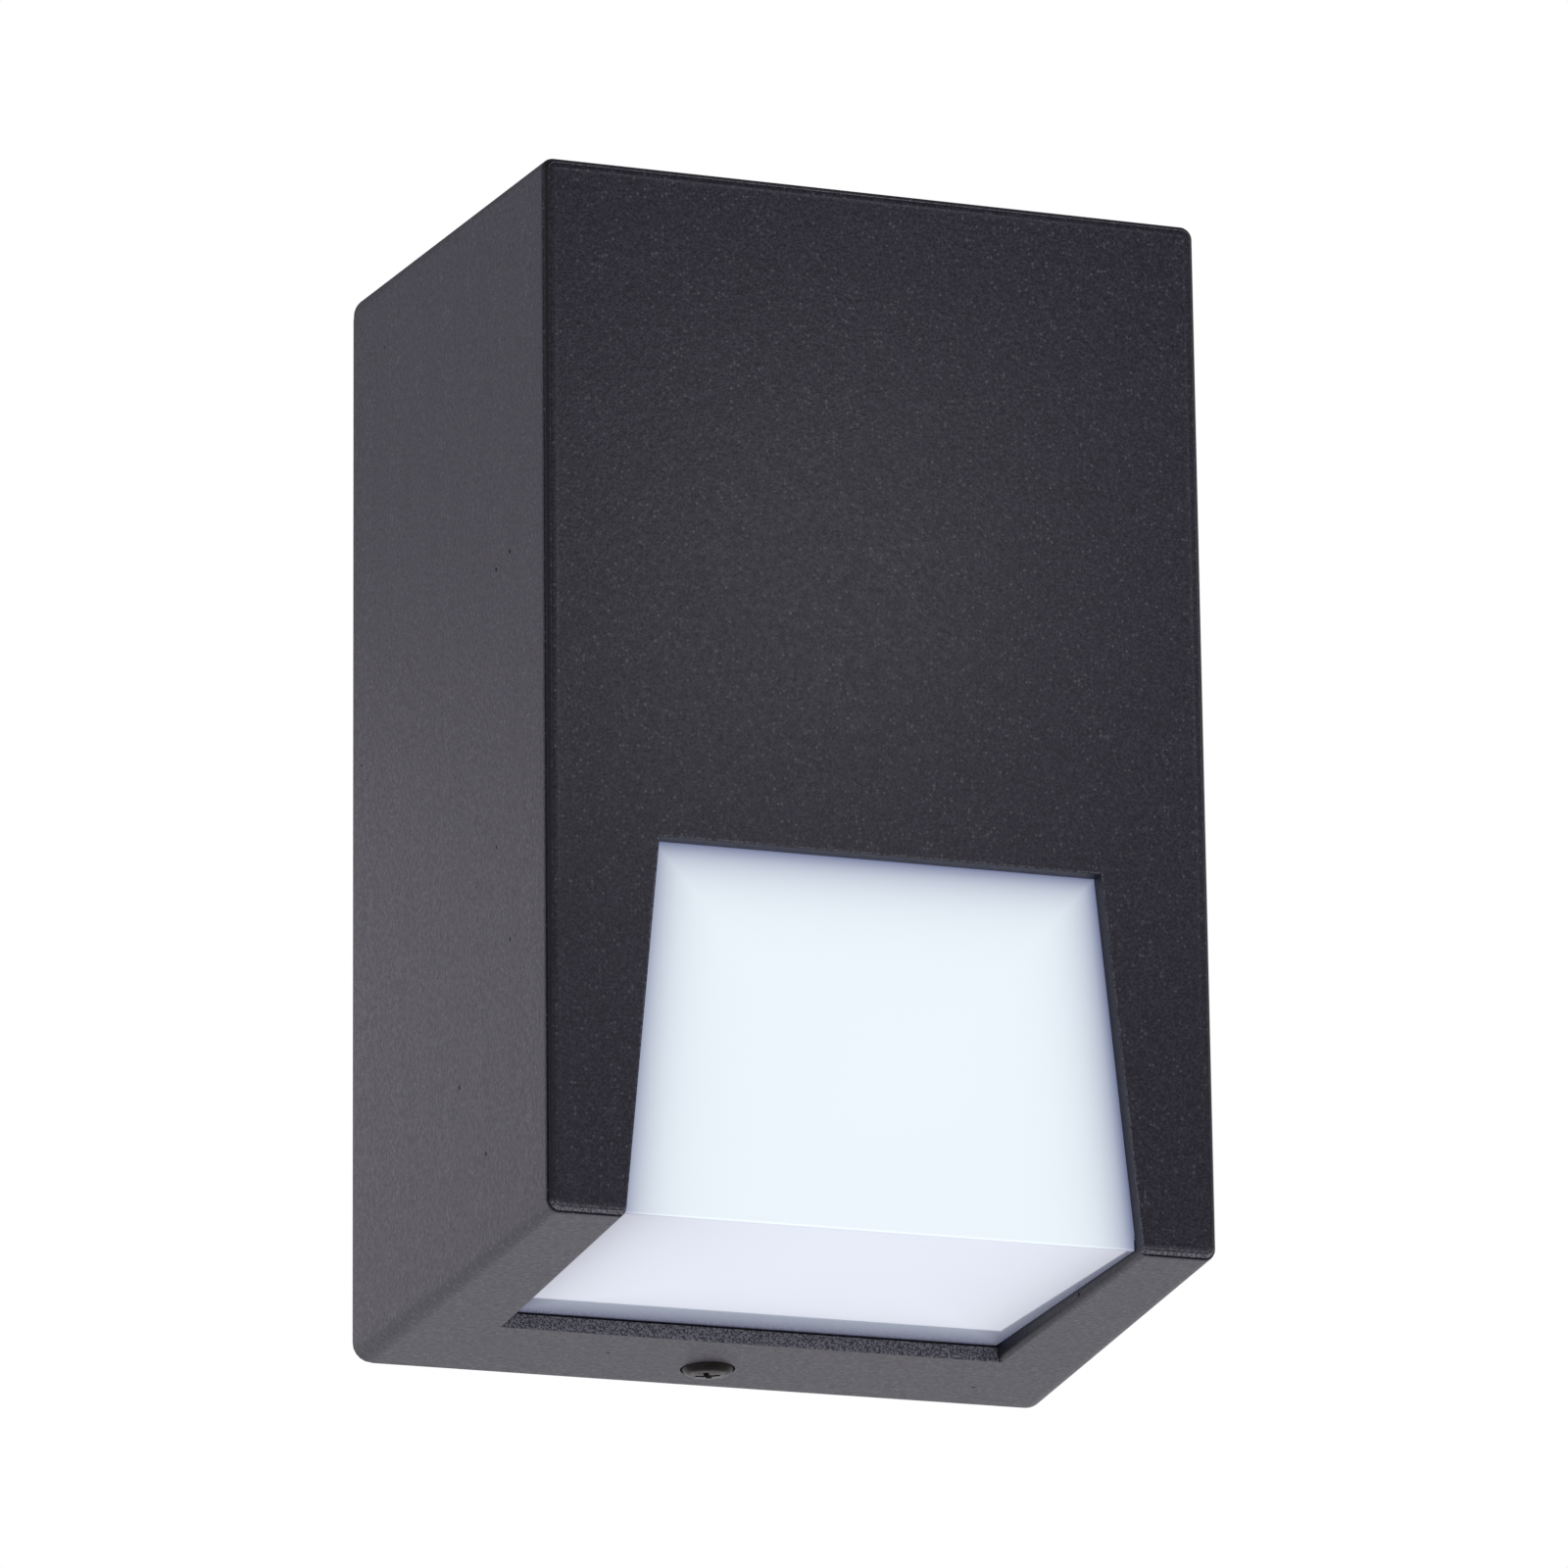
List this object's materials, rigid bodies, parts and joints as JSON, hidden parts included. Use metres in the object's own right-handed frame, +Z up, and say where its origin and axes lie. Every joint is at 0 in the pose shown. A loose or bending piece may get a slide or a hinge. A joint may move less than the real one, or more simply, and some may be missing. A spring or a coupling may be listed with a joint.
{
  "type": "outdoor wall lantern",
  "caption": "Boxy outdoor wall light: tapered die-cast housing on a wall bracket, with an opal window wrapping from the front into the underside.",
  "frame": {"origin": "middle of the wall bracket's back, on the wall plane", "axes": "+Y points into the wall, -Y out of it towards the front face, +Z is up, +X is to the right as seen from the front"},
  "size_m": [0.106, 0.0796, 0.1617],
  "materials": {
    "housing_coating": "fine-textured anthracite powder coat on die-cast aluminium",
    "opal_diffuser": "glossy opal white, lit from behind",
    "black_rubber": "matt",
    "zinc_plated_steel": "bright zinc plating",
    "plain_aluminium": "mill finish",
    "dark_screw_steel": "dull dark plating",
    "brass": "plain",
    "white_plastic": "satin",
    "white_board": "white solder mask",
    "green_board": "green solder mask",
    "led_phosphor": "yellow phosphor under clear silicone",
    "transformer_tape": "yellow tape",
    "capacitor_sleeve": "dark sleeve",
    "brown_insulation": "wire insulation",
    "blue_insulation": "wire insulation",
    "green_insulation": "wire insulation with a yellow stripe",
    "red_insulation": "wire insulation",
    "black_insulation": "wire insulation"
  },
  "bodies": {
    "wall_bracket": {"bracket_earth_screw": "brass", "bracket_earth_washer": "brass", "cable_grommet": "black_rubber", "wall_bracket": "zinc_plated_steel"},
    "housing": {"board_screw_left": "zinc_plated_steel", "board_screw_right": "zinc_plated_steel", "capacitor": "capacitor_sleeve", "clamp_nut": "zinc_plated_steel", "clip_screw_left": "zinc_plated_steel", "clip_screw_right": "zinc_plated_steel", "cover_screw_1": "zinc_plated_steel", "cover_screw_2": "zinc_plated_steel", "cover_screw_3": "zinc_plated_steel", "cover_screw_4": "zinc_plated_steel", "diffuser": "opal_diffuser", "diffuser_clip_left": "zinc_plated_steel", "diffuser_clip_right": "zinc_plated_steel", "diffuser_seal": "black_rubber", "driver_board": "green_board", "driver_case": "white_plastic", "driver_cover": "white_plastic", "driver_screw_left": "zinc_plated_steel", "driver_screw_right": "zinc_plated_steel", "earth_lug": "zinc_plated_steel", "earth_screw": "brass", "housing": "housing_coating", "lead_earth": "green_insulation", "lead_grommet": "black_rubber", "lead_live": "brown_insulation", "lead_neutral": "blue_insulation", "led_1": "led_phosphor", "led_2": "led_phosphor", "led_3": "led_phosphor", "led_4": "led_phosphor", "led_5": "led_phosphor", "led_6": "led_phosphor", "led_7": "led_phosphor", "led_8": "led_phosphor", "led_board": "white_board", "led_lead_minus": "black_insulation", "led_lead_plus": "red_insulation", "led_tray": "plain_aluminium", "rear_cover": "plain_aluminium", "rear_cover_gasket": "black_rubber", "reflector": "white_plastic", "terminal_block": "white_plastic", "terminal_fixing_left": "zinc_plated_steel", "terminal_fixing_right": "zinc_plated_steel", "terminal_screw_1": "brass", "terminal_screw_2": "brass", "terminal_screw_3": "brass", "transformer": "transformer_tape", "tray_screw_left": "zinc_plated_steel", "tray_screw_right": "zinc_plated_steel", "wall_gasket": "black_rubber"},
    "screw_washer": {"sealing_washer": "black_rubber"},
    "securing_screw": {"securing_screw": "dark_screw_steel"}
  },
  "joints": [
    {"name": "housing_pull_off", "type": "slide", "parent": "wall_bracket", "child": "housing", "axis": [0, -1, 0], "range_m": [0, 0.06]},
    {"name": "screw_withdraw", "type": "slide", "parent": "housing", "child": "screw_washer", "axis": [0, 0, -1], "range_m": [0, 0.0042]},
    {"name": "screw_turn", "type": "hinge", "parent": "screw_washer", "child": "securing_screw", "pos_m": [-0.0022, -0.0103, -0.0803], "axis": [0, 0, -1], "range_deg": [0, 2160]}
  ],
  "couplings": [
    {"joint": "screw_turn", "follows": "screw_withdraw", "rad_per_m": 8976}
  ]
}
